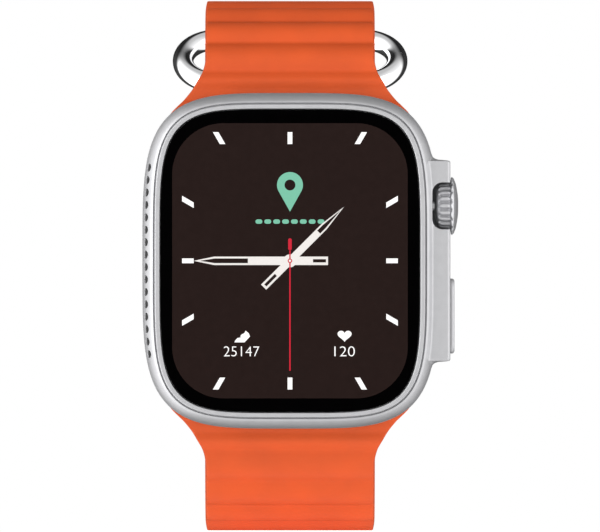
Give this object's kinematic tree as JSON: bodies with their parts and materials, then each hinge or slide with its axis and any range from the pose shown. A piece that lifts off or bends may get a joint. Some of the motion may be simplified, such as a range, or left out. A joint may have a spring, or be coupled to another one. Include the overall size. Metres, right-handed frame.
{
  "type": "gps running watch",
  "caption": "rectangular sports watch, bare metal case with crown guard, turning crown and side button, buckled on a ridged orange band with a polished keeper loop",
  "frame": {"origin": "middle of the flat top of the sensor window, where the watch touches the wrist", "axes": "+Y from the face through the case to the wrist, +Z towards 12 o'clock, +X towards the crown"},
  "size_m": [0.0463, 0.0663, 0.0782],
  "materials": {
    "titanium": "bead-blasted bare metal, satin",
    "crystal": "polished flat crystal over a black printed border",
    "screen": "dark display panel",
    "black_rubber": "matt black seal",
    "ceramic": "dark glazed ceramic",
    "sensor_glass": "dark polished window",
    "steel": "machined steel",
    "board": "solder-masked board",
    "copper": "enamelled copper winding",
    "battery_foil": "laminated foil pouch",
    "black_plastic": "moulded plastic",
    "orange_elastomer": "satin moulded elastomer",
    "chrome": "mirror polished"
  },
  "bodies": {
    "case": {"case_body": "titanium", "front_glass": "crystal", "display_panel": "screen", "display_gasket": "black_rubber", "back_gasket": "black_rubber", "crown_seal": "black_rubber", "side_button_seal": "black_rubber", "back_cover": "ceramic", "gps_antenna": "ceramic", "sensor_window": "sensor_glass", "inner_frame": "steel", "back_screw_1": "steel", "back_screw_2": "steel", "back_screw_3": "steel", "back_screw_4": "steel", "alignment_magnet": "steel", "system_module": "steel", "microphone": "steel", "haptic_housing": "steel", "crown_bushing": "steel", "sensor_board": "board", "main_board": "board", "charging_coil": "copper", "battery_cell": "battery_foil", "optical_sensor": "black_plastic", "speaker_module": "black_plastic", "speaker_mesh": "black_plastic", "crown_switch": "black_plastic", "side_button_switch": "black_plastic"},
    "crown_press": {"crown_pusher": "steel"},
    "crown": {"crown_knob": "titanium", "crown_shaft": "steel"},
    "side_button": {"side_button_cap": "titanium", "side_button_plunger": "steel"},
    "upper_release": {"upper_release_button": "titanium"},
    "lower_release": {"lower_release_button": "titanium"},
    "haptic": {"haptic_mass": "steel"},
    "band": {"upper_strap": "orange_elastomer", "lower_strap": "orange_elastomer", "buckle_pin": "steel"},
    "keeper": {"keeper_loop": "chrome"},
    "buckle": {"buckle_frame": "chrome"},
    "prong": {"buckle_prong": "chrome"}
  },
  "joints": [
    {"name": "crown_push", "type": "slide", "parent": "case", "child": "crown_press", "axis": [-1, 0, 0], "range_m": [0, 0.0003], "stiffness_N_per_m": 3300},
    {"name": "crown_turn", "type": "hinge", "parent": "crown_press", "child": "crown", "pos_m": [0.0228, -0.0082, 0.00805], "axis": [1, 0, 0], "continuous": true},
    {"name": "side_button_push", "type": "slide", "parent": "case", "child": "side_button", "axis": [-1, 0, 0], "range_m": [0, 0.00035], "stiffness_N_per_m": 3000},
    {"name": "upper_release_push", "type": "slide", "parent": "case", "child": "upper_release", "axis": [0, -1, 0], "range_m": [0, 0.0006], "stiffness_N_per_m": 1500},
    {"name": "lower_release_push", "type": "slide", "parent": "case", "child": "lower_release", "axis": [0, -1, 0], "range_m": [0, 0.0006], "stiffness_N_per_m": 1500},
    {"name": "haptic_shake", "type": "slide", "parent": "case", "child": "haptic", "axis": [1, 0, 0], "range_m": [-0.0004, 0.0004], "stiffness_N_per_m": 600},
    {"name": "band_slide", "type": "slide", "parent": "case", "child": "band", "axis": [1, 0, 0], "range_m": [-0.02, 0.02]},
    {"name": "keeper_slide", "type": "hinge", "parent": "band", "child": "keeper", "pos_m": [0, 0.02384, 0.02044], "axis": [1, 0, 0], "range_deg": [-5, 10]},
    {"name": "buckle_swing", "type": "hinge", "parent": "band", "child": "buckle", "pos_m": [0, 0.04219, 0.01301], "axis": [1, 0, 0], "range_deg": [0, 6]},
    {"name": "prong_swing", "type": "hinge", "parent": "buckle", "child": "prong", "pos_m": [0, 0.04219, 0.01301], "axis": [1, 0, 0], "range_deg": [0, 3]}
  ]
}
